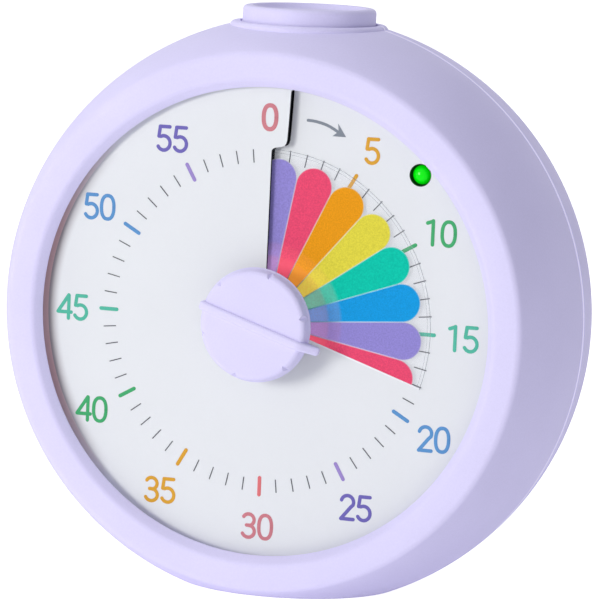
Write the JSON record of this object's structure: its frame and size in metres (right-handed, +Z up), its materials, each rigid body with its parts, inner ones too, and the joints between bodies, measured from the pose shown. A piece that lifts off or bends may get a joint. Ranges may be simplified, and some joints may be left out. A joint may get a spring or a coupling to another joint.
{
  "type": "visual timer",
  "caption": "Round standing visual timer: its knob winds a rainbow film disc through the dial's slit to show the time left, and a button is on top.",
  "frame": {"origin": "middle of the bounding box at its bottom, on the surface that the foot stands on", "axes": "+Z up, +X to the right seen from the front, -Y from the dial towards the viewer"},
  "size_m": [0.0934, 0.0414, 0.0912],
  "materials": {
    "front_housing": "satin",
    "rear_cover": "satin",
    "battery_door": "satin",
    "button_cap": "satin",
    "tact_plunger": "matte",
    "tact_switch": "matte",
    "dial_plate": "matte",
    "dial_spacer_ring": "matte",
    "rainbow_disc": "satin",
    "knob": "satin",
    "knob_shaft": "satin",
    "main_gear": "satin",
    "middle_gear": "satin",
    "motor_rotor": "satin",
    "motor_stator": "satin",
    "motor_coil": "satin",
    "movement_case": "matte",
    "chassis_plate": "matte",
    "circuit_board": "satin",
    "led_lamp": "gloss",
    "buzzer": "matte",
    "rear_board": "satin",
    "volume_switch": "satin",
    "volume_slider": "matte",
    "alarm_switch": "satin",
    "alarm_slider": "matte",
    "battery_1": "satin",
    "battery_2": "satin",
    "contact_plate_1": "satin",
    "contact_plate_2": "satin",
    "contact_spring_1": "satin",
    "contact_spring_2": "satin",
    "cover_screw_1": "satin",
    "cover_screw_2": "satin",
    "cover_screw_3": "satin",
    "cover_screw_4": "satin",
    "chassis_screw_1": "satin",
    "chassis_screw_2": "satin",
    "chassis_screw_3": "satin",
    "movement_screw_1": "satin",
    "movement_screw_2": "satin",
    "board_screw_1": "satin",
    "board_screw_2": "satin",
    "rear_board_screw_1": "satin",
    "rear_board_screw_2": "satin"
  },
  "bodies": {
    "case": {"front_housing": "front_housing", "rear_cover": "rear_cover", "tact_switch": "tact_switch", "dial_plate": "dial_plate", "dial_spacer_ring": "dial_spacer_ring", "motor_stator": "motor_stator", "motor_coil": "motor_coil", "movement_case": "movement_case", "chassis_plate": "chassis_plate", "circuit_board": "circuit_board", "led_lamp": "led_lamp", "buzzer": "buzzer", "rear_board": "rear_board", "volume_switch": "volume_switch", "alarm_switch": "alarm_switch", "battery_1": "battery_1", "battery_2": "battery_2", "contact_plate_1": "contact_plate_1", "contact_plate_2": "contact_plate_2", "contact_spring_1": "contact_spring_1", "contact_spring_2": "contact_spring_2", "cover_screw_1": "cover_screw_1", "cover_screw_2": "cover_screw_2", "cover_screw_3": "cover_screw_3", "cover_screw_4": "cover_screw_4", "chassis_screw_1": "chassis_screw_1", "chassis_screw_2": "chassis_screw_2", "chassis_screw_3": "chassis_screw_3", "movement_screw_1": "movement_screw_1", "movement_screw_2": "movement_screw_2", "board_screw_1": "board_screw_1", "board_screw_2": "board_screw_2", "rear_board_screw_1": "rear_board_screw_1", "rear_board_screw_2": "rear_board_screw_2"},
    "knob": {"knob": "knob", "knob_shaft": "knob_shaft", "main_gear": "main_gear"},
    "disc": {"rainbow_disc": "rainbow_disc"},
    "middle_gear": {"middle_gear": "middle_gear"},
    "rotor": {"motor_rotor": "motor_rotor"},
    "button": {"button_cap": "button_cap"},
    "plunger": {"tact_plunger": "tact_plunger"},
    "volume_slider": {"volume_slider": "volume_slider"},
    "alarm_slider": {"alarm_slider": "alarm_slider"},
    "door": {"battery_door": "battery_door"}
  },
  "joints": [
    {"name": "knob_turn", "type": "hinge", "parent": "case", "child": "knob", "pos_m": [0, -0.0136, 0.0431], "axis": [0, 1, 0], "range_deg": [-108.5, 251.5]},
    {"name": "disc_climb", "type": "slide", "parent": "knob", "child": "disc", "axis": [0, -1, 0], "range_m": [-0.00048, 0.00112]},
    {"name": "middle_gear_turn", "type": "hinge", "parent": "case", "child": "middle_gear", "pos_m": [-0.01316, -0.006, 0.0355], "axis": [0, 1, 0], "range_deg": [-943.2, 407]},
    {"name": "rotor_turn", "type": "hinge", "parent": "case", "child": "rotor", "pos_m": [-0.00208, -0.003, 0.0291], "axis": [0, 1, 0], "range_deg": [-1220.7, 2829.4]},
    {"name": "button_press", "type": "slide", "parent": "case", "child": "button", "axis": [0, 0, -1], "range_m": [0, 0.001], "stiffness_N_per_m": 1000, "springref_m": -0.0005},
    {"name": "plunger_press", "type": "slide", "parent": "case", "child": "plunger", "axis": [0, 0, -1], "range_m": [0, 0.001]},
    {"name": "volume_slide", "type": "slide", "parent": "case", "child": "volume_slider", "axis": [1, 0, 0], "range_m": [-0.002, 0.002]},
    {"name": "alarm_slide", "type": "slide", "parent": "case", "child": "alarm_slider", "axis": [1, 0, 0], "range_m": [-0.002, 0.002]},
    {"name": "door_swing", "type": "hinge", "parent": "case", "child": "door", "pos_m": [0, 0.0196, 0.01805], "axis": [-1, 0, 0], "range_deg": [0, 90]}
  ],
  "couplings": [
    {"joint": "disc_climb", "follows": "knob_turn", "m_per_rad": 0.00025465},
    {"joint": "middle_gear_turn", "follows": "knob_turn", "ratio": -3.75},
    {"joint": "rotor_turn", "follows": "knob_turn", "ratio": 11.25},
    {"joint": "plunger_press", "follows": "button_press", "ratio": 1}
  ]
}
